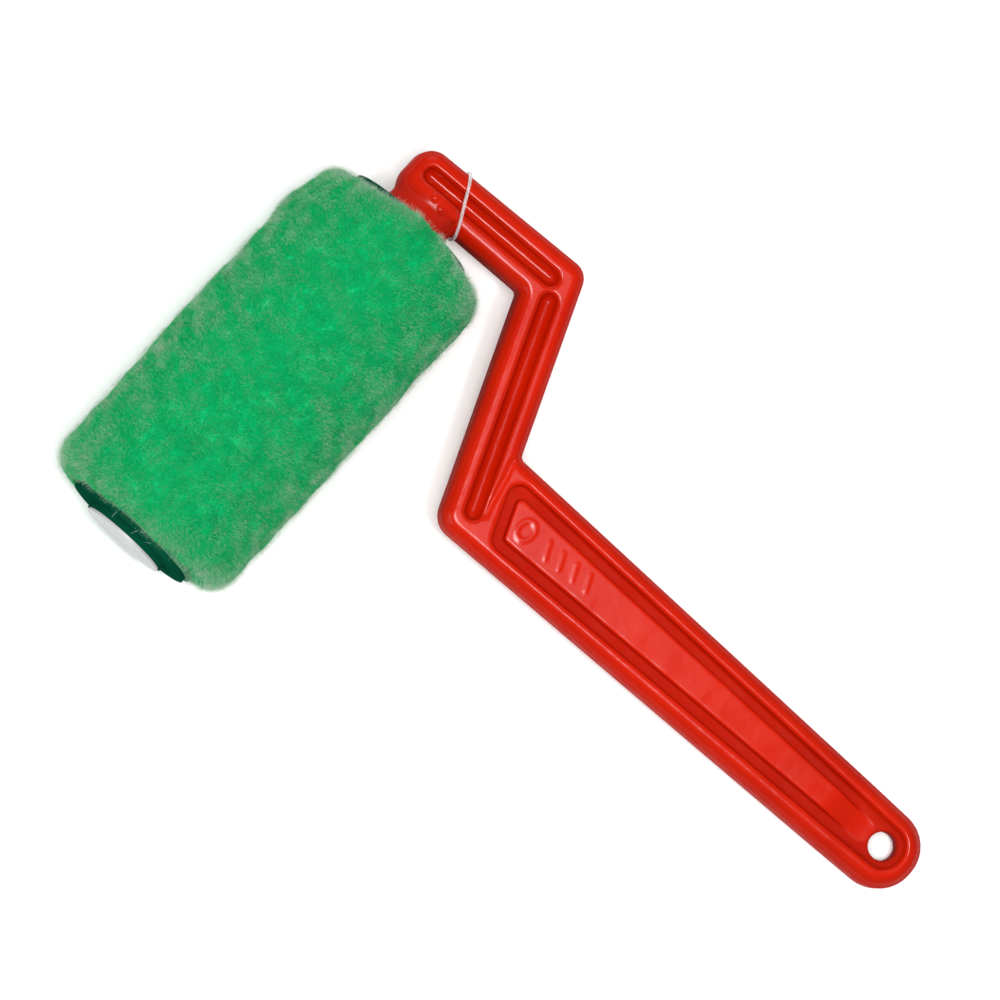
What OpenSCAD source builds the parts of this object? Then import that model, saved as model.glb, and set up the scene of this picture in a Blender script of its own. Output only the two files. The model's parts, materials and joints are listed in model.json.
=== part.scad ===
// Small paint roller: a one-piece plastic frame with a cranked arm, and a fur
// sleeve that spins on a spindle pressed into the end of the arm.
// The roller lies on its pile and on the end of its grip. X runs along the
// roller's axis towards the arm, the grip points to -Y and +Z is up.

/* [Pile] */
// Diameter over the tips of the pile
pile_d = 53; // [50:0.5:56]
// Length of the pile along the axis
pile_l = 100; // [90:1:102]
// Rounding of the pile at both ends
pile_round = 6.5; // [3:0.5:7.5]
// Thickness of the fabric that carries the pile
backing_t = 1; // [0.6:0.1:1.5]

/* [Core] */
// Outside diameter of the core tube
core_d = 34; // [32:0.5:36]
// Wall of the core tube
core_wall = 1.5; // [1:0.1:2]
// Length of the core tube
core_l = 97; // [94:1:99]
// Thickness of an end cap's flange
flange_t = 1.2; // [0.8:0.1:2]
// Diameter of the recess in an end cap
recess_d = 20; // [19:0.5:22]
// Depth of the recess, from the flange's outer face
recess_deep = 6; // [5.5:0.5:8]
// Depth to which an end cap is pushed into the tube
plug_deep = 9; // [8:0.5:12]
// Length of the bearing hub inside an end cap
hub_l = 8; // [5:0.5:12]
// Diameter of the collar round the recess at the free end
collar_d = 22.6; // [22.4:0.1:24]
// How far that collar stands out
collar_l = 1.5; // [1:0.1:2]
// Diameter of the pale plug that closes the collar
plug_d = 21.6; // [21:0.1:22]
// Thickness of the plug's head
plug_t = 0.6; // [0.5:0.1:1]

/* [Spindle] */
// Diameter of the spindle rod
spindle_d = 6; // [5:0.5:7]
// Radial running clearance between spindle and bearing hub
run_gap = 0.05; // [0.02:0.01:0.1]
// Radial interference of the spindle in the boss
press = 0.04; // [0.02:0.01:0.06]
// Thickness of the thrust washer
washer_t = 1; // [0.6:0.1:1.2]
// End play between the roller and its two stops
end_play = 0.3; // [0.3:0.05:0.5]

/* [Frame] */
// Thickness of the frame
frame_t = 12; // [11:0.5:13]
// Rounding of the frame's outer edges
edge_r = 4; // [3:0.25:4]
// Diameter of the boss
boss_d = 18; // [17:1:18]
// Distance from the roller's axis to the hanging hole
reach = 182.6; // [175:0.1:190]
// Width of the grip at its round end
grip_end_w = 18.6; // [18:0.1:20]
// Diameter of the hanging hole
hole_d = 6.9; // [5:0.1:7.5]
// Width of the rim all round the grip and along the channels
rim_w = 4.2; // [3.8:0.1:4.6]
// Depth of the channels in the arm and the crank
channel_deep = 3.2; // [2:0.1:3.5]
// Width of the channels
channel_w = 4.4; // [3.5:0.1:5]
// Depth of the groove round the grip's panel
groove_deep = 4; // [3:0.1:4.5]
// Width of that groove
groove_w = 2.9; // [2:0.1:3.2]
// How far the panel lies below the rim
panel_drop = 0.8; // [0.5:0.1:1.5]

/* [Tag loop] */
// Diameter of the clear filament tied round the arm
loop_d = 0.8; // [0.6:0.1:1]

/* [Hidden] */
$fn = 96;
eps = 0.01;

// Roller, along its axis from the middle of the pile
tube_shift = -0.7;
tube_x0 = tube_shift - core_l / 2;
tube_x1 = tube_shift + core_l / 2;
core_id = core_d - 2 * core_wall;
plug_fit = 0.05;
inner_floor = tube_x1 + flange_t - recess_deep;
outer_floor = tube_x0 - flange_t + recess_deep;
boss_x0 = inner_floor + end_play + washer_t;
boss_x1 = 57.5;
nut_t = 0.8;
nut_x1 = outer_floor - end_play;
spindle_x0 = nut_x1 - nut_t - 1.5;
spindle_x1 = 57;

// Frame in its own plane: x along the roller's axis, y = 0 on that axis.
// Each corner is [x, y, radius], anticlockwise from the arm's tip.
tip_y = 10;
hole_x = 17.3;
end_y = -reach - grip_end_w / 2;
corner_r = edge_r + 0.5;
grip_left_x = 0.8;
grip_right_x = 25.7;
grip_flare = 0.6;
frame_corners = [
    [65.8, tip_y, corner_r],
    [52.7, tip_y, corner_r],
    [54.5, -29.4, 1.2],
    [grip_left_x, -52, corner_r + 1.5],
    [hole_x - grip_end_w / 2 - grip_flare, end_y, grip_end_w / 2],
    [hole_x + grip_end_w / 2, end_y, grip_end_w / 2],
    [grip_right_x, -56.5, 1.5],
    [69.1, -38.3, corner_r]
];
// Corners by name, for the split of the slab's two faces
tip = 0;
arm_bend_in = 2;
crank_bend_out = 3;
crank_bend_in = 6;
arm_bend_out = 7;
corner_steps = 6;
mid = corner_steps / 2;
arm_channel = [[60, 4.4], [61.8, -32.4]];
crank_channel = [[57.2, -36], [8.6, -56.2]];
// Walls of the pocket, set in from the grip's own edges, with a slanted start
pocket_top_left = [grip_left_x + rim_w + grip_flare, -64.6];
pocket_top_right = [grip_right_x - rim_w, -58];
pocket_slant = 1.1;
hole_to_panel = 10.5;
panel_end_y = -reach + hole_to_panel;

// Attitude at rest and the place of the origin, under the middle of the box
rest_tilt = asin((pile_d - frame_t) / 2 / (reach + grip_end_w / 2 - edge_r));
x_max = max([for (q = rounded(frame_corners)) q[0]]);
plug_seat = tube_x0 - flange_t - collar_l;
x_min = plug_seat - plug_t;
y_min = end_y * cos(rest_tilt) - (frame_t / 2 - edge_r) * sin(rest_tilt);
origin = [(x_max + x_min) / 2, (pile_d / 2 + y_min) / 2, -pile_d / 2];

function unit(v) = v / norm(v);

// Points of a rounded corner p between its neighbours a and b, each with its
// outward normal: [x, y, nx, ny]
function corner_points(p, a, b, r, steps) =
    let(
        to_a = unit(a - p),
        to_b = unit(b - p),
        half = acos(to_a * to_b) / 2,
        centre = p + unit(to_a + to_b) * r / sin(half),
        from = p + to_a * r / tan(half) - centre,
        to = p + to_b * r / tan(half) - centre,
        start = atan2(from[1], from[0]),
        turn = (atan2(to[1], to[0]) - start + 540) % 360 - 180,
        side = turn > 0 ? 1 : -1
    )
    [for (i = [0:steps])
        let(t = start + turn * i / steps)
        [centre[0] + r * cos(t), centre[1] + r * sin(t), side * cos(t), side * sin(t)]];

function corner_xy(c) = [c[0], c[1]];

// Rounded outline of a list of [x, y, radius] corners
function rounded(corners) =
    let(n = len(corners))
    [for (i = [0:n - 1])
        each corner_points(corner_xy(corners[i]), corner_xy(corners[(i + n - 1) % n]),
                           corner_xy(corners[(i + 1) % n]), corners[i][2], corner_steps)];

// Number of the outline's point that is step i of a corner, and a run of them
function at(corner, i) = corner * (corner_steps + 1) + i;
function run_of(from, to) = [for (k = [from:to]) k];

// The frame's flat faces, split into convex parts at the two bends
frame_parts = [
    concat(run_of(at(arm_bend_out, mid), at(arm_bend_out, corner_steps)),
           run_of(at(tip, 0), at(arm_bend_in, 0))),
    for (i = [0:corner_steps - 1])
        [at(arm_bend_out, mid), at(arm_bend_in, i), at(arm_bend_in, i + 1)],
    concat(run_of(at(arm_bend_in, corner_steps), at(crank_bend_out, mid)),
           run_of(at(crank_bend_in, corner_steps), at(arm_bend_out, mid))),
    for (i = [0:corner_steps - 1])
        [at(crank_bend_out, mid), at(crank_bend_in, i), at(crank_bend_in, i + 1)],
    run_of(at(crank_bend_out, mid), at(crank_bend_in, 0))
];

function outline_xy(points) = [for (q = points) [q[0], q[1]]];

// Places a solid that is drawn in the frame's plane
module in_frame() {
    translate(-origin) rotate([rest_tilt, 0, 0]) children();
}

// Places a solid of revolution whose own z runs along the roller's axis
module on_axis() {
    translate(-origin) rotate([0, 90, 0]) children();
}

// A ring or disc along the axis, from x0 to x1
module ring(x0, x1, outer, inner = 0) {
    translate([0, 0, x0])
        difference() {
            cylinder(h = x1 - x0, d = outer);
            if (inner > 0)
                translate([0, 0, -eps]) cylinder(h = x1 - x0 + 2 * eps, d = inner);
        }
}

// Flat slab with rounded edges. Its outline is points, and parts splits that
// outline's numbers into convex polygons.
module rounded_slab(points, parts, thick, r, steps = 4) {
    n = len(points);
    levels = [
        for (k = [steps:-1:0]) [r * (1 - cos(90 * k / steps)), r - thick / 2 - r * sin(90 * k / steps)],
        for (k = [0:steps]) [r * (1 - cos(90 * k / steps)), thick / 2 - r + r * sin(90 * k / steps)]
    ];
    rings = len(levels);
    polyhedron(
        points = [for (level = levels, q = points)
            [q[0] - level[0] * q[2], q[1] - level[0] * q[3], level[1]]],
        faces = [
            each parts,
            for (part = parts) [for (i = [len(part) - 1:-1:0]) (rings - 1) * n + part[i]],
            for (k = [0:rings - 2], i = [0:n - 1])
                [k * n + i, (k + 1) * n + i, (k + 1) * n + (i + 1) % n, k * n + (i + 1) % n]
        ]
    );
}

// Slot with round ends, between two points
module slot(ends, width) {
    run = ends[1] - ends[0];
    translate(ends[0]) rotate(atan2(run[1], run[0])) {
        translate([0, -width / 2]) square([norm(run), width]);
        circle(d = width);
        translate([norm(run), 0]) circle(d = width);
    }
}

// Outline of the pocket in the grip, shrunk by inset and ended at end_at
module pocket_shape(inset, end_at, end_round) {
    end_half = grip_end_w / 2 - rim_w - inset;
    corners = [
        [pocket_top_right[0] - inset, pocket_top_right[1] - inset * pocket_slant, 3],
        [pocket_top_left[0] + inset, pocket_top_left[1] - inset * pocket_slant, 3],
        [hole_x - end_half - grip_flare / 2, end_at, end_round],
        [hole_x + end_half, end_at, end_round]
    ];
    polygon(outline_xy(rounded(corners)));
}

// Everything sunk into one face of the frame
module face_relief() {
    translate([0, 0, frame_t / 2 - channel_deep])
        linear_extrude(height = channel_deep + 1) {
            slot(arm_channel, channel_w);
            slot(crank_channel, channel_w);
        }
    translate([0, 0, frame_t / 2 - groove_deep])
        difference() {
            linear_extrude(height = groove_deep + 1)
                pocket_shape(0, -reach - grip_end_w / 2 + rim_w, grip_end_w / 2 - rim_w);
            translate([0, 0, -1])
                linear_extrude(height = groove_deep + 1 - panel_drop)
                    pocket_shape(groove_w, panel_end_y, 1.5);
        }
}

module boss() {
    round_end = 3;
    rotate([0, 90, 0]) rotate_extrude()
        difference() {
            union() {
                translate([0, boss_x0]) square([boss_d / 2, boss_x1 - round_end - boss_x0]);
                translate([0, boss_x0]) square([boss_d / 2 - round_end, boss_x1 - boss_x0]);
                translate([boss_d / 2 - round_end, boss_x1 - round_end]) circle(r = round_end);
            }
            translate([-boss_d, boss_x0 - 1]) square([boss_d, boss_x1 - boss_x0 + 2]);
        }
}

module handle_frame() {
    color([0.84, 0.08, 0.04]) in_frame()
        difference() {
            union() {
                boss();
                rounded_slab(rounded(frame_corners), frame_parts, frame_t, edge_r);
            }
            face_relief();
            mirror([0, 0, 1]) face_relief();
            translate([hole_x, -reach, -frame_t]) cylinder(h = 2 * frame_t, d = hole_d);
            rotate([0, 90, 0]) translate([0, 0, boss_x0 - 1])
                cylinder(h = spindle_x1 - boss_x0 + 1, d = spindle_d - 2 * press);
        }
}

module spindle() {
    chamfer = 0.6;
    color([0.72, 0.73, 0.75]) on_axis() {
        translate([0, 0, spindle_x0])
            cylinder(h = chamfer, d1 = spindle_d - 2 * chamfer, d2 = spindle_d);
        ring(spindle_x0 + chamfer, spindle_x1, spindle_d);
    }
}

module thrust_washer() {
    color([0.9, 0.9, 0.86]) on_axis()
        ring(boss_x0 - washer_t, boss_x0, recess_d - 4, spindle_d + 0.2);
}

module push_nut() {
    color([0.6, 0.61, 0.64]) on_axis()
        ring(nut_x1 - nut_t, nut_x1, 13, spindle_d - 2 * press);
}

// Rounded rectangle of filament round the arm, standing in a slanted plane
module tag_loop() {
    bend_r = 4.2;
    inner_side = [53.1, -9.5];
    outer_side = [67.08, -1.9];
    run = outer_side - inner_side;
    half_w = norm(run) / 2 - bend_r;
    half_h = frame_t / 2 + loop_d / 2 + 0.05 - bend_r;
    middle = (inner_side + outer_side) / 2;
    color([0.93, 0.95, 0.96]) in_frame()
        translate([middle[0], middle[1], 0]) rotate([0, 0, atan2(run[1], run[0])]) {
            for (quarter = [0:3])
                rotate([0, 90 * quarter, 0]) {
                    along = quarter % 2 == 0 ? [half_w, 0, half_h] : [half_h, 0, half_w];
                    translate(along) rotate([90, 0, 0])
                        rotate_extrude(angle = 90) translate([bend_r, 0]) circle(d = loop_d, $fn = 24);
                    translate([-along[0] - eps, 0, along[2] + bend_r]) rotate([0, 90, 0])
                        cylinder(h = 2 * along[0] + 2 * eps, d = loop_d, $fn = 24);
                }
        }
}

module core_tube() {
    color([0.03, 0.33, 0.22]) on_axis() ring(tube_x0, tube_x1, core_d, core_id);
}

// End cap drawn with its flange's outer face at z = 0 and its hub towards +z
module end_cap() {
    skirt_wall = 1.6;
    hub_wall = 3;
    bore_d = spindle_d + 2 * run_gap;
    color([0.05, 0.37, 0.26])
        difference() {
            union() {
                ring(0, flange_t, core_d);
                ring(flange_t - eps, flange_t + plug_deep, core_id - 2 * plug_fit);
                ring(recess_deep, recess_deep + hub_l, bore_d + 2 * hub_wall);
            }
            translate([0, 0, -1]) cylinder(h = recess_deep + 1, d = recess_d);
            translate([0, 0, recess_deep + 2])
                ring(0, plug_deep + flange_t, core_id - 2 * plug_fit - 2 * skirt_wall,
                     bore_d + 2 * hub_wall);
            translate([0, 0, -1]) cylinder(h = recess_deep + hub_l + 2, d = bore_d);
        }
}

module inner_end_cap() {
    on_axis() translate([0, 0, tube_x1 + flange_t]) mirror([0, 0, 1]) end_cap();
}

// The free end's cap has a collar round its recess
module outer_end_cap() {
    on_axis() translate([0, 0, tube_x0 - flange_t]) {
        end_cap();
        color([0.05, 0.37, 0.26]) ring(-collar_l, eps, collar_d, recess_d);
    }
}

// Pale plug that snaps into the outer cap's recess, over the spindle's end
module end_plug() {
    skirt_d = recess_d - 2 * plug_fit;
    skirt_l = 3.5;
    color([0.82, 0.83, 0.82]) on_axis() {
        ring(plug_seat - plug_t, plug_seat, plug_d);
        ring(plug_seat - eps, plug_seat + skirt_l, skirt_d, skirt_d - 2.4);
    }
}

module pile_backing() {
    color([0.2, 0.45, 0.33]) on_axis()
        ring(max(tube_x0, -pile_l / 2 + 0.5), min(tube_x1, pile_l / 2 - 0.5),
             core_d + 2 * backing_t, core_d);
}

module pile_sleeve() {
    inner_r = core_d / 2 + backing_t;
    corners = [
        [inner_r, -pile_l / 2, 0.5],
        [pile_d / 2, -pile_l / 2, pile_round],
        [pile_d / 2, pile_l / 2, pile_round],
        [inner_r, pile_l / 2, 0.5]
    ];
    color([0, 0.63, 0.33]) on_axis()
        rotate_extrude() polygon(outline_xy(rounded(corners)));
}

handle_frame();
spindle();
thrust_washer();
push_nut();
tag_loop();
core_tube();
inner_end_cap();
outer_end_cap();
end_plug();
pile_backing();
pile_sleeve();
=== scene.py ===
"""Looks of a small paint roller: a green fur sleeve on a red plastic frame."""
import json
import math

import bpy
import numpy as np
from mathutils import Matrix, Vector
from mathutils.kdtree import KDTree


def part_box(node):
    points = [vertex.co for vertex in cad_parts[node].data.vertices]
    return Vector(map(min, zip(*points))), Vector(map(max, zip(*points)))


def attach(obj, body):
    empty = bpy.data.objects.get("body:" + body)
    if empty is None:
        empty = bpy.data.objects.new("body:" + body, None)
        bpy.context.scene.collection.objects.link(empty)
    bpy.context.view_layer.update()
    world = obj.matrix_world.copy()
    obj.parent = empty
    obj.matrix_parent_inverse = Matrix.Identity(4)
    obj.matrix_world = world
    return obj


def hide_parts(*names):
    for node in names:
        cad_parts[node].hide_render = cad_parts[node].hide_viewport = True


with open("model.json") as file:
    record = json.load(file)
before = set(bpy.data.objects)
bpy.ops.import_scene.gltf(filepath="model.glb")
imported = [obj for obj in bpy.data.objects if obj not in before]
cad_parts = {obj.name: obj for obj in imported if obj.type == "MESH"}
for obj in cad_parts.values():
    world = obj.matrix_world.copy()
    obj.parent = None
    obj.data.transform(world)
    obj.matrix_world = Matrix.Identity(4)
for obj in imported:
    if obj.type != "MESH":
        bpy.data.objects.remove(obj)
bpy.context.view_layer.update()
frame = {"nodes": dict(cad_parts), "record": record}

MM = 0.001
SEED = 11

# ---------------------------------------------------------------- the frame's own plane
# Lengths in that plane are in mm: x along the roller's axis from the pile's middle,
# y = 0 on that axis, z = 0 in the middle of the frame's thickness.
record = frame["record"]
hole_mount = record["mounts"][0]
TILT = math.atan2(-hole_mount["axis"][1], hole_mount["axis"][2])
pile_low, pile_high = (Vector(corner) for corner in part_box("pile_sleeve"))
PILE_MIDDLE = (pile_low + pile_high) / 2


def to_row(points):
    """Points of the frame's plane, in mm, as places in the row's frame, in metres."""
    p = np.asarray(points, float)
    cos_t, sin_t = math.cos(TILT), math.sin(TILT)
    out = np.empty_like(p)
    out[..., 0] = p[..., 0]
    out[..., 1] = p[..., 1] * cos_t - p[..., 2] * sin_t
    out[..., 2] = p[..., 1] * sin_t + p[..., 2] * cos_t
    return out * MM + np.array(PILE_MIDDLE)


def on_axis(points):
    """Points round the roller's axis, in mm from the pile's middle, as places in metres."""
    return np.asarray(points, float) * MM + np.array(PILE_MIDDLE)


# ---------------------------------------------------------------- meshes
def make_mesh(name, points, faces, smooth=True, material_of_face=None):
    """A mesh object from an array of points and an array of same-sided faces."""
    faces = np.asarray(faces, np.int32)
    sides = faces.shape[1]
    mesh = bpy.data.meshes.new(name)
    mesh.vertices.add(len(points))
    mesh.vertices.foreach_set("co", np.asarray(points, np.float32).ravel())
    mesh.loops.add(faces.size)
    mesh.loops.foreach_set("vertex_index", faces.ravel())
    mesh.polygons.add(len(faces))
    mesh.polygons.foreach_set("loop_start", np.arange(0, faces.size, sides, dtype=np.int32))
    if material_of_face is not None:
        mesh.polygons.foreach_set("material_index", np.asarray(material_of_face, np.int32))
    mesh.polygons.foreach_set("use_smooth", np.full(len(faces), smooth))
    mesh.update(calc_edges=True)
    mesh.validate()
    piece = bpy.data.objects.new(name, mesh)
    bpy.context.scene.collection.objects.link(piece)
    return piece


def smooth_min(a, b, k):
    """The lesser of two distances, blended over a width k where they are near each other."""
    h = np.clip(0.5 + 0.5 * (b - a) / k, 0, 1)
    return b + (a - b) * h - k * h * (1 - h)


def smooth_max(a, b, k):
    """The greater of two distances, blended in the same way."""
    return -smooth_min(-a, -b, k)


def smooth_step(low, high, value):
    """0 before low, 1 past high, and an S-shaped rise between them. high may be the lesser."""
    t = np.clip((value - low) / (high - low), 0, 1)
    return t * t * (3 - 2 * t)


def rounded_outline(corners, steps=8):
    """Closed outline through [x, y, radius] corners, as an array of points."""
    out = []
    for i, (px, py, r) in enumerate(corners):
        p = np.array([px, py])
        a = np.array(corners[i - 1][:2])
        b = np.array(corners[(i + 1) % len(corners)][:2])
        to_a = (a - p) / np.linalg.norm(a - p)
        to_b = (b - p) / np.linalg.norm(b - p)
        half = math.acos(np.clip(to_a @ to_b, -1, 1)) / 2
        bisector = (to_a + to_b) / np.linalg.norm(to_a + to_b)
        centre = p + bisector * r / math.sin(half)
        start = p + to_a * r / math.tan(half) - centre
        stop = p + to_b * r / math.tan(half) - centre
        angle = math.atan2(start[1], start[0])
        turn = (math.atan2(stop[1], stop[0]) - angle + 3 * math.pi) % (2 * math.pi) - math.pi
        for t in angle + turn * np.linspace(0, 1, steps + 1):
            out.append(centre + r * np.array([math.cos(t), math.sin(t)]))
    return np.array(out)


def outline_distance(outline, x, y):
    """Signed distance in the plane to a closed outline, negative inside."""
    best = np.full(x.shape, np.inf)
    inside = np.zeros(x.shape, bool)
    for (ax, ay), (bx, by) in zip(outline, np.roll(outline, -1, axis=0)):
        ex, ey = bx - ax, by - ay
        wx, wy = x - ax, y - ay
        length2 = ex * ex + ey * ey
        if length2 < 1e-12:
            continue
        t = np.clip((wx * ex + wy * ey) / length2, 0, 1)
        best = np.minimum(best, (wx - ex * t) ** 2 + (wy - ey * t) ** 2)
        if ey:
            inside ^= ((ay > y) != (by > y)) & (x < ex * wy / ey + ax)
    return np.where(inside, -1, 1) * np.sqrt(best)


def line_distance(ends, x, y):
    """Distance in the plane to a straight line between two points."""
    (ax, ay), (bx, by) = ends
    ex, ey = bx - ax, by - ay
    t = np.clip(((x - ax) * ex + (y - ay) * ey) / (ex * ex + ey * ey), 0, 1)
    return np.hypot(x - ax - ex * t, y - ay - ey * t)


def surface_nets(field, axes):
    """Quads of the surface on which a sampled field is zero, one point for each cell."""
    inside = field < 0
    cells = tuple(n - 1 for n in field.shape)

    def shifted(array, i, j, k):
        return array[i:cells[0] + i, j:cells[1] + j, k:cells[2] + k]

    corners = [(i, j, k) for i in (0, 1) for j in (0, 1) for k in (0, 1)]
    count = sum(shifted(inside, *c).astype(np.int8) for c in corners)
    active = (count > 0) & (count < 8)
    number = np.full(cells, -1, np.int64)
    number[active] = np.arange(active.sum())
    cell = np.stack(np.nonzero(active), axis=1)
    total = np.zeros((len(cell), 3))
    hits = np.zeros(len(cell))
    for axis in range(3):
        for start in [c for c in corners if c[axis] == 0]:
            low = cell + np.array(start)
            high = low.copy()
            high[:, axis] += 1
            a, b = field[tuple(low.T)], field[tuple(high.T)]
            crossed = (a < 0) != (b < 0)
            t = np.where(crossed, a / np.where(crossed, a - b, 1), 0)
            p = np.stack([axes[d][low[:, d]] for d in range(3)], axis=1)
            p[:, axis] += t * (axes[axis][high[:, axis]] - axes[axis][low[:, axis]])
            total += np.where(crossed[:, None], p, 0)
            hits += crossed
    points = total / hits[:, None]
    quads = []
    for axis in range(3):
        u, v = (axis + 1) % 3, (axis + 2) % 3
        low = [slice(1, -1)] * 3
        low[axis] = slice(0, -1)
        high = list(low)
        high[axis] = slice(1, None)
        a, b = inside[tuple(low)], inside[tuple(high)]
        for outward, flip in ((a & ~b, False), (~a & b, True)):
            at = np.stack(np.nonzero(outward), axis=1)
            at[:, u] += 1
            at[:, v] += 1
            ring = []
            for du, dv in ((-1, -1), (0, -1), (0, 0), (-1, 0)):
                q = at.copy()
                q[:, u] += du
                q[:, v] += dv
                ring.append(number[tuple(q.T)])
            ring = np.stack(ring, axis=1)
            quads.append(ring[:, ::-1] if flip else ring)
    return points, np.concatenate(quads)


def settle(points, quads, distance, rounds=4, ease=0.6):
    """Evens out a net of quads and draws its points onto the surface distance = 0."""
    pairs = np.concatenate([quads[:, [k, (k + 1) % 4]] for k in range(4)])
    step = 0.02
    for turn in range(rounds):
        here = distance(points)
        slope = np.stack([distance(points + step * axis) - here for axis in np.eye(3)], axis=1)
        slope = slope / step
        length2 = np.maximum((slope ** 2).sum(axis=1), 0.05)
        normal = slope / np.sqrt(length2)[:, None]
        move = -np.clip(here / length2, -0.4, 0.4)[:, None] * slope
        if turn < rounds - 1:
            total = np.zeros_like(points)
            count = np.bincount(pairs[:, 0], minlength=len(points))
            for axis in range(3):
                total[:, axis] = np.bincount(pairs[:, 0], points[pairs[:, 1], axis], len(points))
            drift = total / count[:, None] - points
            drift -= (drift * normal).sum(axis=1)[:, None] * normal
            move += ease * drift
        points = points + move
    return points


# ---------------------------------------------------------------- the red frame
HALF_T = 6.0            # half of the frame's thickness
EDGE_R = 3.4            # rounding of its outer edges
REST_EDGE = 0.6         # further rounding of the end that it lies on
REST_END = (168, 184)   # where that end starts and is full, down the grip
HOLE = (17.3, -182.6)
HOLE_R = 3.45
END_R = 9.3
BOSS_R = 8.5
BOSS_FLARE = 0.75       # how much wider the boss is at its open end
BOSS_ROUND = 1.2        # rounding of its two ends
BOSS_X = (44.3, 58.2)
BOSS_BLEND = 5.0        # how widely it blends into the arm,
BLEND_LESS_CRANK = 3.5  # less on the crank's side
BLEND_LESS_TIP = 2.6    # and less at the arm's tip
BORE_R = 3.0
BORE_END = 57.0
CHANNEL_HALF = 2.1
CHANNEL_DEEP = 3.0
GROOVE_DEEP = 3.7
PANEL_DROP = 0.75
RAMP_Y = (-164, -177)   # where the panel slopes down into the groove
RAMP_UNDER = 0.4        # how far below the groove's floor it ends
# how softly each feature meets what it is cut from or joined to
LUMP_SOFT, PANEL_SOFT, GROOVE_SOFT, POCKET_SOFT = 0.8, 0.5, 0.9, 1.1
CHANNEL_SOFT, HOLE_SOFT, BORE_SOFT = 0.9, 0.7, 0.15
FLOOR_SOFT, FLOOR_SOFTER = 1.6, 2.2     # of the groove's floor, and more at the grip's end
FLOOR_SOFTER_Y = (-166, -178)

frame_outline = rounded_outline([
    (65.8, 10.0, 5.0), (52.7, 10.0, 4.2), (54.5, -29.4, 1.4), (0.8, -52, 6),
    (7.4, HOLE[1] - END_R, END_R), (26.6, HOLE[1] - END_R, END_R), (25.7, -56.5, 1.6),
    (69.1, -38.3, 4.6)])
pocket_outline = rounded_outline([
    (21.6, -57.6, 3.2), (5.6, -64.3, 3.4), (11.9, -187.6, 5.0), (22.5, -187.6, 5.0)])
panel_outline = rounded_outline([
    (18.8, -61.9, 1.3), (8.6, -66.2, 1.3), (14.4, -178.5, 2.0), (19.9, -178.5, 2.0)])
ARM_CHANNEL = ((60.0, 4.4), (61.8, -32.4))
CRANK_CHANNEL = ((57.2, -36.0), (8.6, -56.2))
OVAL, OVAL_SIZE = (13.8, -68.6), (2.6, 2.0)
BARS = ((13.9, -75.5), (14.2, -79.6), (14.5, -83.7), (14.8, -87.8))
BAR_HALF = (1.9, 0.9)
MARK_WIDE = 0.9
MARK_HIGH = 0.14
# roughness by region, and how far its border reaches in from the frame's outline
SATIN, DULL_GROOVE, DULL_SIDE = 0.2, 0.85, 0.8
POLISHED_ARM, POLISHED_CRANK = 0.10, 0.16
SIDE_BAND, EDGE_BAND = (-1.3, -0.5), (-3.2, -1.4)
# painted shade: how much darker the red is painted towards the grip's end, in the groove and
# channels, and at the edges, for the shade that falls there
PAINTED_END_SHADE, PAINTED_GROOVE_SHADE, PAINTED_CHANNEL_SHADE, PAINTED_EDGE_SHADE = 0.07, 0.16, 0.14, 0.16
PAINTED_SHADE_END_SPAN = (110, 170)
# a shallow valley between the crank's channel and the grip's pocket
VALLEY = ((23.6, -55.2), (19.9, -56.4), (16.3, -57.2), (13.5, -57.8), (9.8, -59.0))
VALLEY_HALF = 1.3
VALLEY_DEEP = 0.46
# small moulding lumps where the boss joins the arm: place, and radius
LUMPS = (((56.3, 0.8, 8.3), 0.9), ((55.2, -2.1, 8.0), 1.1), ((56.2, -5.7, 6.6), 1.0))


def raised_marks(x, y):
    """Distance to the plain raised marks on the panel: an oval ring and a row of short bars."""
    (mx, my), (half_x, half_y), bar = OVAL, OVAL_SIZE, np.array(BAR_HALF)
    ring = np.abs(np.hypot((x - mx) / half_x, (y - my) / half_y) - 1) * min(OVAL_SIZE)
    bars = [line_distance((np.array(at) - bar, np.array(at) + bar), x, y) for at in BARS]
    return np.minimum(ring, np.minimum.reduce(bars)) - MARK_WIDE / 2


def rounded_slab(side, height, r):
    """Distance to a slab with rounded edges, from the distances to its side and its face."""
    return (np.minimum(np.maximum(side, height), 0)
            + np.hypot(np.maximum(side, 0), np.maximum(height, 0)) - r)


def channel(ends, x, y, top):
    """A round-bottomed channel, sunk from the frame's face."""
    across = line_distance(ends, x, y) / CHANNEL_HALF
    down = np.minimum(top, 0) / CHANNEL_DEEP
    return (np.hypot(across, down) - 1) * CHANNEL_HALF


def frame_distance(points):
    """Roughly the distance to the red frame's surface, negative inside it."""
    x, y, z = points.T
    return frame_field(x, y, z, outline_distance(frame_outline, x, y),
                       outline_distance(pocket_outline, x, y),
                       outline_distance(panel_outline, x, y))


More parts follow.
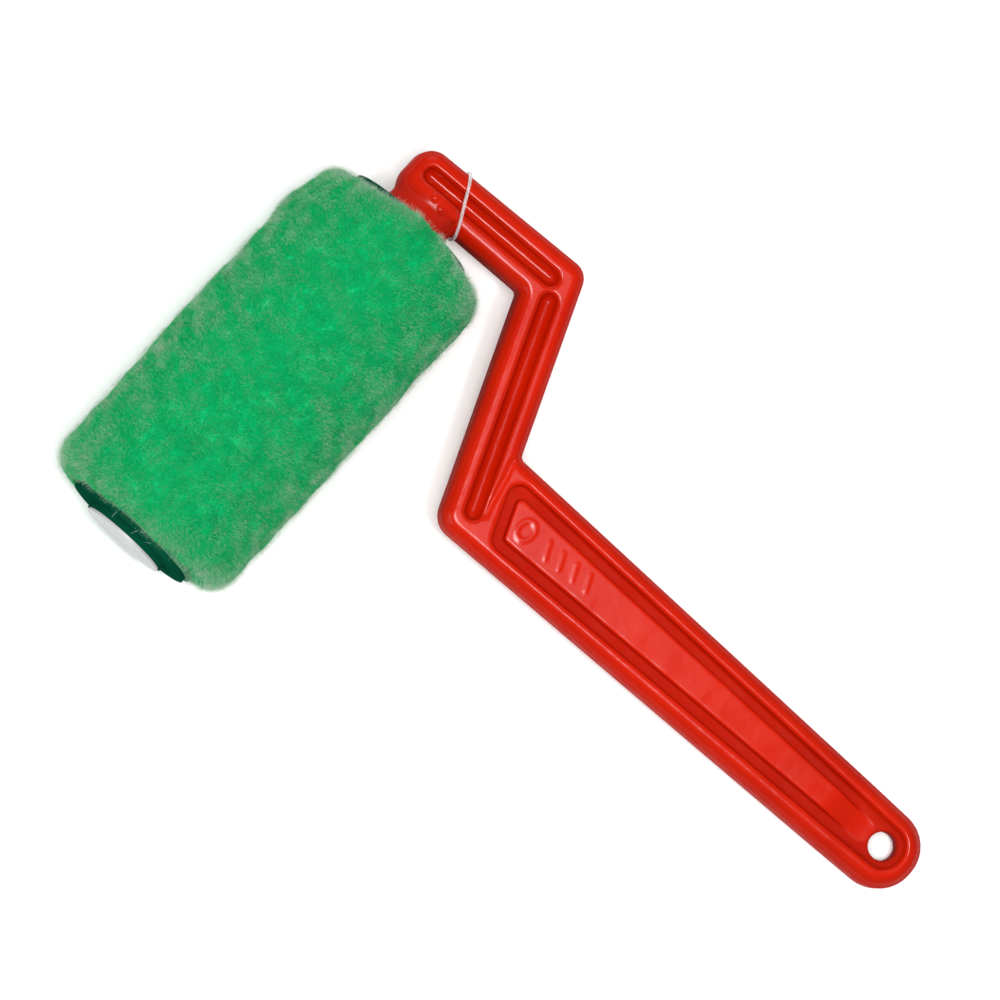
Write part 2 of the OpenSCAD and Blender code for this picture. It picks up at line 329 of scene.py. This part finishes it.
def frame_field(x, y, z, side, pocket_side, panel_side):
    """The same, from the distances to the frame's, the pocket's and the panel's outlines."""
    top = np.abs(z) - HALF_T
    valley = np.minimum.reduce([line_distance(ends, x, y) for ends in zip(VALLEY, VALLEY[1:])])
    dip = VALLEY_DEEP * (1 - smooth_step(0, VALLEY_HALF, valley))
    edge = EDGE_R + REST_EDGE * smooth_step(*REST_END, -y)
    body = rounded_slab(side + edge, top + edge + dip, edge)
    along = np.maximum(BOSS_X[0] - x, x - BOSS_X[1])
    boss_r = np.hypot(y, z) - BOSS_R - BOSS_FLARE * smooth_step(-53.5, -49.5, -x)
    boss = rounded_slab(boss_r + BOSS_ROUND, along + BOSS_ROUND, BOSS_ROUND)
    body = smooth_min(body, boss, BOSS_BLEND - BLEND_LESS_CRANK * smooth_step(4.5, 7.5, -y)
                      - BLEND_LESS_TIP * smooth_step(4.5, 8, y))
    for (at_x, at_y, at_z), lump_r in LUMPS:
        ball = np.sqrt((x - at_x) ** 2 + (y - at_y) ** 2 + (np.abs(z) - at_z) ** 2) - lump_r
        body = smooth_min(body, ball, LUMP_SOFT)
    ramp = (GROOVE_DEEP - PANEL_DROP + RAMP_UNDER) * smooth_step(*RAMP_Y, y)
    panel_top = HALF_T - PANEL_DROP - ramp
    panel_top = panel_top + MARK_HIGH * (1 - smooth_step(-0.3, 0.3, raised_marks(x, y)))
    panel = smooth_max(panel_side, np.abs(z) - panel_top, PANEL_SOFT)
    soft = FLOOR_SOFT + FLOOR_SOFTER * smooth_step(*FLOOR_SOFTER_Y, y)
    pocket = smooth_max(pocket_side, HALF_T - GROOVE_DEEP - np.abs(z), soft)
    pocket = smooth_max(pocket, -panel, GROOVE_SOFT)
    body = smooth_max(body, -pocket, POCKET_SOFT)
    for ends in (ARM_CHANNEL, CRANK_CHANNEL):
        body = smooth_max(body, -channel(ends, x, y, top), CHANNEL_SOFT)
    hole = np.hypot(x - HOLE[0], y - HOLE[1]) - HOLE_R
    body = smooth_max(body, -hole, HOLE_SOFT)
    bore = np.maximum(np.hypot(y, z) - BORE_R, x - BORE_END)
    return smooth_max(body, -bore, BORE_SOFT)


def spaced(stops):
    """Grid lines through the stops, given as position, then spacing to the next one."""
    lines = []
    for (a, pitch), (b, _) in zip(stops, stops[1:]):
        n = max(1, round((b - a) / pitch))
        lines.extend(np.linspace(a, b, n, endpoint=False))
    lines.append(stops[-1][0])
    return np.array(lines)


def frame_regions(points):
    """How far each point lies in each channel, the groove, the sides and the rounded edges."""
    x, y, z = points.T
    top = np.abs(z) - HALF_T
    polish = [1 - smooth_step(0.2, 1.6, channel(ends, x, y, top))
              for ends in (ARM_CHANNEL, CRANK_CHANNEL)]
    groove = ((1 - smooth_step(-1.2, 0.4, outline_distance(pocket_outline, x, y)))
              * smooth_step(-0.2, 0.4, outline_distance(panel_outline, x, y)))
    outside = outline_distance(frame_outline, x, y)
    return (polish[0], polish[1], groove,
            smooth_step(*SIDE_BAND, outside), smooth_step(*EDGE_BAND, outside))


def build_frame():
    """The red frame as one mesh, with its finish and its painted shade (the red darkened where
    shade falls) as attributes.
    """
    axes = (spaced([(-1.31, 0.45), (71.1, 0)]),
            spaced([(-193.4, 0.5), (-158, 1.3), (-93, 0.45), (10.9, 0)]),
            spaced([(-9.9, 0.45), (9.9, 0)]))
    plan_x, plan_y = np.meshgrid(axes[0], axes[1], indexing="ij")
    sides = [outline_distance(o, plan_x, plan_y)[:, :, None]
             for o in (frame_outline, pocket_outline, panel_outline)]
    field = frame_field(plan_x[:, :, None], plan_y[:, :, None], axes[2][None, None, :], *sides)
    points, quads = surface_nets(field, axes)
    points = settle(points, quads, frame_distance)
    piece = make_mesh("red_frame", to_row(points), quads)
    arm, crank, groove, side, edge = frame_regions(points)
    rough = SATIN + (DULL_GROOVE - SATIN) * groove
    rough = rough + (DULL_SIDE - rough) * side
    rough = rough + (POLISHED_ARM - rough) * arm
    rough = rough + (POLISHED_CRANK - rough) * crank
    # painted shade: the 'depth' attribute darkens the red towards the grip's end, in the groove and
    # channels and at the rounded edges
    depth = (1 - PAINTED_END_SHADE * smooth_step(*PAINTED_SHADE_END_SPAN, -points[:, 1]) - PAINTED_GROOVE_SHADE * groove
             - PAINTED_CHANNEL_SHADE * np.maximum(arm, crank) - PAINTED_EDGE_SHADE * edge)
    for name, values in (("finish", rough), ("depth", depth)):
        layer = piece.data.attributes.new(name, "FLOAT", "POINT")
        layer.data.foreach_set("value", values.astype(np.float32))
    return piece


red_frame = build_frame()
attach(red_frame, "frame")
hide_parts("handle_frame")

# ---------------------------------------------------------------- the pile
PILE_R = pile_high.z / MM / 2
PILE_HALF = (pile_high.x - pile_low.x) / MM / 2
BACKING_R = (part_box("pile_backing")[1][2] - PILE_MIDDLE.z) / MM
SPINE_R = BACKING_R + 0.2
PILE_ROUND = PILE_R - SPINE_R
UNDER_FUR = 1.5         # how far the matted under-fur lies below the tips
BODY_ROUND = PILE_ROUND - UNDER_FUR
LUMP_HIGH, TUFT_HIGH = 0.3, 0.15
END_BULGE = 0.2         # by which the ends are fuller than the sleeve
SQUARENESS = 2.35       # of the pile's rounded ends, where 2 is a plain arc
SPINE_HALF = PILE_HALF + END_BULGE - PILE_ROUND
STRANDS = 200000
SECTORS = 12
CLUMPS = 4200
FUR_LEAN, FUR_RISE = (1.3, 2.5), (0.7, 1.35)    # of a strand, shortest and longest
FUR_WIDTH = (0.05, 0.075)
ROOTED = 0.35           # how deep a strand starts in the under-fur
# places where the pile is worn: angle, depth, and where along x it starts and ends
WORN = ((math.radians(15), 2.6, 30, 47), (math.radians(175), 2.1, 39, 50),
        (math.radians(175), 1.3, -40, -50))
FUZZ = 330000           # tried, of which patches keep about half
FUZZ_PARTS = 6
FUZZ_TIP = (-0.9, 0.5)  # how high the tips stand, from the pile's rounded outline
FUZZ_STRAY = 0.27
FUZZ_PROUD = 0.2        # how far they may pass the sleeve's radius
FUZZ_WIDTH = (0.008, 0.014)
# loose fibres: angle round the axis, and the radius that each one's tip reaches
LOOSE_ANGLE = (1.3, 1.66, 1.9)
LOOSE_REACH = (16.0, 13.0, 15.4)
LOOSE_START = 18.3
LOOSE_WIDTH = 0.035
rng = np.random.default_rng(SEED)


def smooth_field(shortest, longest, modes=40):
    """A smooth random field over place along the axis and angle round it, about -1 to 1."""
    wave = np.exp(rng.uniform(math.log(shortest), math.log(longest), modes))
    heading = rng.uniform(0, 2 * math.pi, modes)
    turns = np.round(np.sin(heading) * 2 * math.pi / wave * PILE_R)
    along = np.cos(heading) * 2 * math.pi / wave
    phase = rng.uniform(0, 2 * math.pi, modes)

    def field(x, angle):
        total = np.zeros(np.shape(x))
        for k, m, p in zip(along, turns, phase):
            total = total + np.cos(k * x + m * angle + p)
        return total / math.sqrt(modes / 2) / 1.5
    return field


def spine(s):
    """Point (x, r) and outward step (x, r) at length s along the rounded profile."""
    side = np.sign(s)
    x = np.minimum(np.abs(s), SPINE_HALF)
    turn = np.clip((np.abs(s) - SPINE_HALF) / PILE_ROUND, 0, math.pi / 2)
    out_x, out_r = np.sin(turn), np.cos(turn)
    reach = (out_x ** SQUARENESS + out_r ** SQUARENESS) ** (-1 / SQUARENESS)
    return side * x, np.full(np.shape(s), SPINE_R), side * out_x * reach, out_r * reach


PROFILE_HALF = SPINE_HALF + math.pi / 2 * PILE_ROUND


def around(x, r, angle):
    """Points at a place along the axis, a radius and an angle round it."""
    return np.stack([x, r * np.cos(angle), r * np.sin(angle)], axis=-1)


lump = smooth_field(9, 40)
tuft = smooth_field(2.6, 6)
lean_x, lean_a = smooth_field(5, 22), smooth_field(5, 22)
shade_wide, shade_fine = smooth_field(9, 30), smooth_field(2.2, 6)
haze = smooth_field(5, 18)


def worn(x, angle):
    """Depth by which the pile is worn down near its ends, in mm."""
    total = 0
    for at, deep, start, stop in WORN:
        turn = np.abs((angle - at + math.pi) % (2 * math.pi) - math.pi)
        total = total + deep * smooth_step(start, stop, x) * (1 - smooth_step(0.5, 1.5, turn))
    return total


def build_pile_body():
    """The matted under-fur, a closed ring that the strands stand on."""
    s = np.concatenate([np.linspace(-PROFILE_HALF, -SPINE_HALF, 14)[:-1],
                        np.linspace(-SPINE_HALF, SPINE_HALF, 110),
                        np.linspace(SPINE_HALF, PROFILE_HALF, 14)[1:]])
    angle = np.linspace(0, 2 * math.pi, 220, endpoint=False)
    s_grid, a_grid = np.meshgrid(s, angle, indexing="ij")
    x, r, nx, nr = spine(s_grid)
    depth = (BODY_ROUND + LUMP_HIGH * lump(x, a_grid) + TUFT_HIGH * tuft(x, a_grid)
             - worn(x + nx * PILE_ROUND, a_grid))
    outer = around(x + nx * depth, r + nr * depth, a_grid)
    inner = np.stack([around(x_end, BACKING_R + 0.03, angle)
                      for x_end in (outer[-1, :, 0], outer[0, :, 0])])
    rings = np.concatenate([outer, inner])
    rows, cols = rings.shape[:2]
    number = np.arange(rows * cols).reshape(rows, cols)
    a = number
    b = np.roll(number, -1, axis=1)
    c = np.roll(b, -1, axis=0)
    d = np.roll(a, -1, axis=0)
    quads = np.stack([a, b, c, d], axis=-1).reshape(-1, 4)
    return make_mesh("pile_body", on_axis(rings.reshape(-1, 3)), quads)


def unit(v):
    """Directions of vectors, each of length 1."""
    return v / np.maximum(np.linalg.norm(v, axis=-1, keepdims=True), 1e-9)


def strand_mesh(name, root, bend, tip, width, shade_low, shade_high):
    """Closed three-sided strands, each from a root through a bend to its tip."""
    n = len(root)
    axis = unit(tip - root)
    side = unit(np.cross(axis, unit(rng.normal(size=(n, 3)))))
    other = np.cross(axis, side)
    points = np.empty((n, 7, 3))
    for k in range(3):
        t = 2 * math.pi * k / 3
        out = math.cos(t) * side + math.sin(t) * other
        points[:, k] = root + out * width[:, None]
        points[:, 3 + k] = bend + out * width[:, None] * 0.85
    points[:, 6] = tip
    pattern = np.array([[0, 2, 1],
                        [0, 1, 4], [0, 4, 3], [1, 2, 5], [1, 5, 4], [2, 0, 3], [2, 3, 5],
                        [3, 4, 6], [4, 5, 6], [5, 3, 6]])
    faces = (pattern[None] + 7 * np.arange(n)[:, None, None]).reshape(-1, 3)
    shade = np.concatenate([np.repeat(shade_low[:, None], 7, axis=1),
                            np.repeat(shade_high[:, None], 3, axis=1)], axis=1)
    return make_mesh(name, on_axis(points.reshape(-1, 3)), faces, material_of_face=shade.ravel())


def kept_inside(place, radius):
    """Draws points in to a radius, so the pile keeps its size and spins free of the floor."""
    r = np.hypot(place[:, 1], place[:, 2])
    place[:, 1:] *= np.minimum(1, radius / r)[:, None]


def scattered(count):
    """Random places on the profile, spread evenly over its surface."""
    s = rng.uniform(-PROFILE_HALF, PROFILE_HALF, int(count * 1.3))
    _, r, _, nr = spine(s)
    s = s[rng.uniform(0, PILE_R, len(s)) < r + nr * PILE_ROUND][:count]
    return s, rng.uniform(0, 2 * math.pi, len(s))


def build_fur():
    """Short fur over the whole sleeve, combed into leaning clumps."""
    s, angle = scattered(STRANDS)
    n = len(s)
    x, r, nx, nr = spine(s)

    cs, ca = scattered(CLUMPS)
    cx, cr, cnx, cnr = spine(cs)
    clump_at = around(cx + cnx * PILE_ROUND, cr + cnr * PILE_ROUND, ca)
    clump_lean = rng.normal(size=(CLUMPS, 2)) * 0.4
    clump_shade = rng.normal(size=CLUMPS)
    tree = KDTree(CLUMPS)
    for i, place in enumerate(clump_at):
        tree.insert(place, i)
    tree.balance()
    surface = around(x + nx * PILE_ROUND, r + nr * PILE_ROUND, angle)
    clump = np.array([tree.find(place)[1] for place in surface])

    out = around(nx, nr, angle)
    forward = np.stack([nr, -nx * np.cos(angle), -nx * np.sin(angle)], axis=-1)
    round_way = np.stack([np.zeros(n), -np.sin(angle), np.cos(angle)], axis=-1)
    lx = 0.55 + 0.5 * lean_x(x, angle) + clump_lean[clump, 0] + rng.normal(size=n) * 0.35
    la = 0.6 + 0.5 * lean_a(x, angle) + clump_lean[clump, 1] + rng.normal(size=n) * 0.35
    lean = unit(forward * lx[:, None] + round_way * la[:, None])
    lean *= rng.uniform(*FUR_LEAN, n)[:, None]
    lean *= 1 - 0.65 * smooth_step(46.5, 50, x + nx * PILE_ROUND)[:, None]
    thin = worn(x + nx * PILE_ROUND, angle)
    uneven = LUMP_HIGH * lump(x, angle) + TUFT_HIGH * tuft(x, angle) - thin
    root = around(x, r, angle) + out * (BODY_ROUND - ROOTED + uneven)[:, None]
    rise = rng.uniform(*FUR_RISE, n)[:, None]
    tip = root + out * rise + lean
    bend = root + out * 0.75 * rise + lean * 0.45
    for place in (bend, tip):
        place[:, 0] = np.minimum(place[:, 0], PILE_HALF - 0.1)
    kept_inside(bend, PILE_R - 0.3)
    kept_inside(tip, PILE_R - 0.3)
    tone = (0.55 * shade_wide(x, angle) + 0.5 * shade_fine(x, angle)
            + 0.3 * clump_shade[clump] + 0.45 * rng.normal(size=n))
    # paler, greyer tips near the pile's ends: partly worn tips, partly a painted sheen for the grey
    # haze seen there at grazing angles
    wear_and_sheen_near_end = smooth_step(36, 50, np.abs(x + nx * PILE_ROUND))
    low = np.clip(np.floor(1.5 + 0.8 * tone), 0, 2).astype(int)
    high = np.clip(np.floor(3.2 + 0.8 * tone + 1.2 * wear_and_sheen_near_end), 2, 5).astype(int)
    width = rng.uniform(*FUR_WIDTH, n)
    sector = np.floor(angle / (2 * math.pi) * SECTORS).astype(int)
    for k in range(SECTORS):
        pick = sector == k
        yield strand_mesh(f"pile_fur_{k + 1}", root[pick], bend[pick], tip[pick],
                          width[pick], low[pick], high[pick])


def build_fuzz():
    """Fine pale fibres that stand out of the fur and make it hazy where they are seen sideways."""
    s, angle = scattered(FUZZ)
    x, r, nx, nr = spine(s)
    at = x + nx * PILE_ROUND
    patchy = 0.4 + 0.4 * haze(x, angle) + 0.5 * smooth_step(38, 50, np.abs(at))
    patchy = patchy - np.where(at > 0, 0.6, 0.8) * smooth_step(48.5, 50, np.abs(at))
    kept = rng.uniform(size=len(s)) < np.clip(patchy, 0.12, 1)
    s, angle, x, r, nx, nr = (v[kept] for v in (s, angle, x, r, nx, nr))
    count = len(s)
    out = around(nx, nr, angle)
    base = around(x, r, angle)
    thin = worn(x + nx * PILE_ROUND, angle) - LUMP_HIGH * lump(x, angle)
    root = base + out * (BODY_ROUND - thin)[:, None]
    tip = (base + out * (PILE_ROUND + rng.uniform(*FUZZ_TIP, count) - thin)[:, None]
           + rng.normal(size=(count, 3)) * FUZZ_STRAY)
    kept_inside(tip, PILE_R + FUZZ_PROUD)
    tip[:, 0] = np.clip(tip[:, 0], -PILE_HALF - 0.7, PILE_HALF + 0.2)
    axis = unit(tip - root)
    side = unit(np.cross(axis, unit(rng.normal(size=(count, 3)))))
    other = np.cross(axis, side)
    width = rng.uniform(*FUZZ_WIDTH, count)[:, None]
    points = np.stack([tip + (math.cos(t) * side + math.sin(t) * other) * width
                       for t in (0, 2 * math.pi / 3, 4 * math.pi / 3)] + [root], axis=1)
    pattern = np.array([[0, 1, 2], [1, 0, 3], [2, 1, 3], [0, 2, 3]])
    for k, part in enumerate(np.array_split(points, FUZZ_PARTS)):
        faces = pattern[None] + 4 * np.arange(len(part))[:, None, None]
        yield make_mesh(f"pile_fuzz_{k + 1}", on_axis(part.reshape(-1, 3)), faces.reshape(-1, 3))


def build_loose_fibres():
    """A few pale fibres that have come loose and lie across the free end's cap."""
    angle = np.array(LOOSE_ANGLE)
    count = len(angle)
    start = around(np.full(count, -PILE_HALF - 0.3), np.full(count, LOOSE_START), angle)
    stop = around(-PILE_HALF - rng.uniform(1.0, 1.8, count), np.array(LOOSE_REACH),
                  angle + rng.normal(size=count) * 0.05)
    bend = (start + stop) / 2 + np.array([-0.5, 0, 0]) + rng.normal(size=(count, 3)) * 0.2
    shade = np.zeros(count, int)
    return strand_mesh("loose_fibres", start, bend, stop, np.full(count, LOOSE_WIDTH),
                       shade, shade)


pile_body = build_pile_body()
fur = list(build_fur())
fuzz = list(build_fuzz())
loose = build_loose_fibres()
for piece in [pile_body, loose] + fuzz + fur:
    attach(piece, "roller")
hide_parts("pile_sleeve")

# ---------------------------------------------------------------- materials


def new_material(name, color, roughness, **values):
    """A material with one Principled shader, and its plain values set on its sockets.

    A color or roughness given here is only a fallback where a texture drives it later.
    """
    material = bpy.data.materials.new(name)
    material.use_nodes = True
    shader = material.node_tree.nodes["Principled BSDF"]
    shader.inputs["Base Color"].default_value = (*color, 1)
    shader.inputs["Roughness"].default_value = roughness
    for key, value in values.items():
        shader.inputs[key.replace("_", " ")].default_value = value
    return material


def noise(material, scale, detail=3.0, stretch=(1, 1, 1), roughness=0.5):
    """A noise texture in object space, stretched along an axis where asked."""
    nodes, links = material.node_tree.nodes, material.node_tree.links
    place = nodes.new("ShaderNodeTexCoord")
    mapping = nodes.new("ShaderNodeMapping")
    mapping.inputs["Scale"].default_value = stretch
    texture = nodes.new("ShaderNodeTexNoise")
    texture.inputs["Scale"].default_value = scale
    texture.inputs["Detail"].default_value = detail
    texture.inputs["Roughness"].default_value = roughness
    links.new(place.outputs["Object"], mapping.inputs["Vector"])
    links.new(mapping.outputs["Vector"], texture.inputs["Vector"])
    return texture.outputs["Fac"]


def colored_by(material, factor, stops):
    """Base color taken from a ramp of (position, color) stops."""
    nodes, links = material.node_tree.nodes, material.node_tree.links
    ramp = nodes.new("ShaderNodeValToRGB")
    elements = ramp.color_ramp.elements
    while len(elements) < len(stops):
        elements.new(0.5)
    for element, (position, color) in zip(elements, stops):
        element.position = position
        element.color = (*color, 1)
    links.new(factor, ramp.inputs["Fac"])
    links.new(ramp.outputs["Color"], nodes["Principled BSDF"].inputs["Base Color"])


def rough_by(material, factor, low, high):
    """Roughness that follows a texture."""
    nodes, links = material.node_tree.nodes, material.node_tree.links
    span = nodes.new("ShaderNodeMapRange")
    span.inputs["From Min"].default_value = 0.3
    span.inputs["From Max"].default_value = 0.7
    span.inputs["To Min"].default_value = low
    span.inputs["To Max"].default_value = high
    links.new(factor, span.inputs["Value"])
    links.new(span.outputs["Result"], nodes["Principled BSDF"].inputs["Roughness"])


def darkened_by(material, attribute):
    """Base color multiplied by a mesh attribute."""
    nodes, links = material.node_tree.nodes, material.node_tree.links
    target = nodes["Principled BSDF"].inputs["Base Color"]
    mark = nodes.new("ShaderNodeAttribute")
    mark.attribute_name = attribute
    product = nodes.new("ShaderNodeVectorMath")
    product.operation = "SCALE"
    links.new(mark.outputs["Fac"], product.inputs["Scale"])
    links.new(target.links[0].from_socket, product.inputs["Vector"])
    links.new(product.outputs["Vector"], target)


def finished_by(material, attribute, factor, vary):
    """Roughness from a mesh attribute, made uneven by a texture."""
    rough_by(material, factor, 1 - vary, 1 + vary)
    nodes, links = material.node_tree.nodes, material.node_tree.links
    target = nodes["Principled BSDF"].inputs["Roughness"]
    mark = nodes.new("ShaderNodeAttribute")
    mark.attribute_name = attribute
    product = nodes.new("ShaderNodeMath")
    product.operation = "MULTIPLY"
    links.new(mark.outputs["Fac"], product.inputs[0])
    links.new(target.links[0].from_socket, product.inputs[1])
    links.new(product.outputs["Value"], target)


def bumped_by(material, factor, height):
    """Small relief that follows a texture, its height in metres."""
    nodes, links = material.node_tree.nodes, material.node_tree.links
    bump = nodes.new("ShaderNodeBump")
    bump.inputs["Distance"].default_value = height
    links.new(factor, bump.inputs["Height"])
    links.new(bump.outputs["Normal"], nodes["Principled BSDF"].inputs["Normal"])


def assign(piece, *materials):
    piece.data.materials.clear()
    for material in materials:
        piece.data.materials.append(material)


red = new_material("red_plastic", (0.5, 0.004, 0.001), 0.25, Specular_IOR_Level=0.14)
colored_by(red, noise(red, 60, 4), [(0.3, (0.46, 0.008, 0.0003)), (0.7, (0.52, 0.011, 0.0005))])
# painted shade: the red's colour is multiplied by the 'depth' attribute, darker where shade falls
darkened_by(red, "depth")
finished_by(red, "finish", noise(red, 240, 4), 0.16)
bumped_by(red, noise(red, 150, 3), 0.00012)
assign(red_frame, red)

fur_shades = [(0.0, 0.48, 0.14), (0.0, 0.55, 0.17), (0.0, 0.60, 0.20),
              (0.0, 0.61, 0.24), (0.02, 0.59, 0.27), (0.06, 0.54, 0.28)]
fur_materials = [new_material(f"fur_{i + 1}", color, 0.6, Specular_IOR_Level=0.15)
                 for i, color in enumerate(fur_shades)]
for piece in fur:
    assign(piece, *fur_materials)
fuzz_fibre = new_material("fuzz_fibre", (0.46, 0.64, 0.48), 0.6, Specular_IOR_Level=0.1)
for piece in fuzz:
    assign(piece, fuzz_fibre)
assign(loose, new_material("loose_fibre", (0.42, 0.62, 0.52), 0.6, Specular_IOR_Level=0.2))
# painted shade: the under-fur is coloured darker than the strands, for the shade deep in the pile
painted_shade_under_fur = new_material("painted_shade_under_fur", (0.0, 0.3, 0.08), 0.9, Specular_IOR_Level=0.1)
colored_by(painted_shade_under_fur, noise(painted_shade_under_fur, 420, 4),
           [(0.35, (0.0, 0.36, 0.11)), (0.65, (0.0, 0.42, 0.14))])
bumped_by(painted_shade_under_fur, noise(painted_shade_under_fur, 900, 3), 0.0004)
assign(pile_body, painted_shade_under_fur)

green = new_material("green_plastic", (0.003, 0.06, 0.03), 0.6, Specular_IOR_Level=0.0)
colored_by(green, noise(green, 90, 3), [(0.3, (0.001, 0.045, 0.022)), (0.7, (0.002, 0.065, 0.034))])
rough_by(green, noise(green, 260, 3, (0.1, 1, 1)), 0.45, 0.6)
for name in ("core_tube", "inner_end_cap", "outer_end_cap"):
    assign(frame["nodes"][name], green)
pale = new_material("pale_plastic", (0.6, 0.61, 0.6), 0.4)
colored_by(pale, noise(pale, 120, 3), [(0.3, (0.36, 0.37, 0.37)), (0.7, (0.45, 0.46, 0.46))])
for name in ("end_plug", "thrust_washer"):
    assign(frame["nodes"][name], pale)
steel = new_material("steel", (0.55, 0.56, 0.58), 0.3, Metallic=1.0)
colored_by(steel, noise(steel, 300, 3, (0.05, 1, 1)),
           [(0.3, (0.5, 0.51, 0.53)), (0.7, (0.6, 0.61, 0.63))])
for name in ("spindle", "push_nut"):
    assign(frame["nodes"][name], steel)
knit = new_material("backing", (0.05, 0.2, 0.1), 0.9)
colored_by(knit, noise(knit, 700, 3), [(0.35, (0.03, 0.14, 0.07)), (0.65, (0.07, 0.26, 0.13))])
assign(frame["nodes"]["pile_backing"], knit)
nylon = new_material("clear_nylon", (0.96, 0.96, 0.96), 0.35, Transmission_Weight=0.72, IOR=1.35)
rough_by(nylon, noise(nylon, 500, 2), 0.3, 0.4)
assign(frame["nodes"]["tag_loop"], nylon)

# ---------------------------------------------------------------- floor, light, camera
SLANT = math.radians(7.5)   # of the view from straight above, towards the free end
TURN = (0.673, 0.740)       # cosine and sine of the camera's turn
back = Vector((-math.sin(SLANT), 0, math.cos(SLANT)))
across = Vector((math.cos(SLANT), 0, math.sin(SLANT)))
along = Vector((0, 1, 0))
view_right = (TURN[0] * across - TURN[1] * along).normalized()
view_up = (TURN[1] * across + TURN[0] * along).normalized()
VIEW_WIDTH = 0.2354         # of the picture, in metres at the roller
VIEW_DISTANCE = 2.4
SENSOR = 36.0
look_at = PILE_MIDDLE + 0.0146 * across - 0.0593 * along

camera_data = bpy.data.cameras.new("camera")
camera_data.sensor_width = SENSOR
camera_data.lens = SENSOR * VIEW_DISTANCE / VIEW_WIDTH
camera_data.clip_end = 20
camera = bpy.data.objects.new("camera", camera_data)
camera.matrix_world = Matrix((
    (view_right.x, view_up.x, back.x, 0), (view_right.y, view_up.y, back.y, 0),
    (view_right.z, view_up.z, back.z, 0), (0, 0, 0, 1)))
camera.location = look_at + back * VIEW_DISTANCE
bpy.context.scene.collection.objects.link(camera)
bpy.context.scene.camera = camera


def soft_box(name, place, target, size, radiance):
    """An area light turned to face a target. A radiance of 1 is about that of white paper."""
    data = bpy.data.lights.new(name, "AREA")
    data.shape = "RECTANGLE"
    data.size, data.size_y = size
    data.energy = radiance * math.pi * size[0] * size[1]
    light = bpy.data.objects.new(name, data)
    light.location = place
    light.rotation_euler = (Vector(target) - Vector(place)).to_track_quat("-Z", "Y").to_euler()
    bpy.context.scene.collection.objects.link(light)


middle = Vector((0.03, 0.03, 0.02))
soft_box("front", camera.location + back * 0.2, look_at, (0.6, 0.6), 38)
soft_box("key", (-0.12, -0.27, 1.55), middle, (0.15, 0.15), 112)
soft_box("fill_left", (-0.9, 0.6, 0.8), middle, (0.8, 0.8), 2.2)
soft_box("fill_right", (1.0, 0.7, 0.8), middle, (0.8, 0.8), 1.6)
soft_box("sheen", (0.15, -0.165, 0.95), (0.15, -0.165, 0), (0.2, 0.15), 5.6)

world = bpy.data.worlds.new("studio")
world.use_nodes = True
world.node_tree.nodes["Background"].inputs["Color"].default_value = (1, 1, 1, 1)
world.node_tree.nodes["Background"].inputs["Strength"].default_value = 0.38
bpy.context.scene.world = world
bpy.context.scene.view_settings.view_transform = "Standard"

floor_reach = 3.0
floor_mesh = bpy.data.meshes.new("floor")
floor_mesh.from_pydata([(-floor_reach, -floor_reach, 0), (floor_reach, -floor_reach, 0),
                        (floor_reach, floor_reach, 0), (-floor_reach, floor_reach, 0)],
                       [], [(0, 1, 2, 3)])
floor = bpy.data.objects.new("floor", floor_mesh)
bpy.context.scene.collection.objects.link(floor)
paper = new_material("paper", (0.97, 0.97, 0.97), 0.9, Specular_IOR_Level=0.0)
colored_by(paper, noise(paper, 3, 2), [(0.3, (0.96, 0.96, 0.96)), (0.7, (0.98, 0.98, 0.98))])
assign(floor, paper)
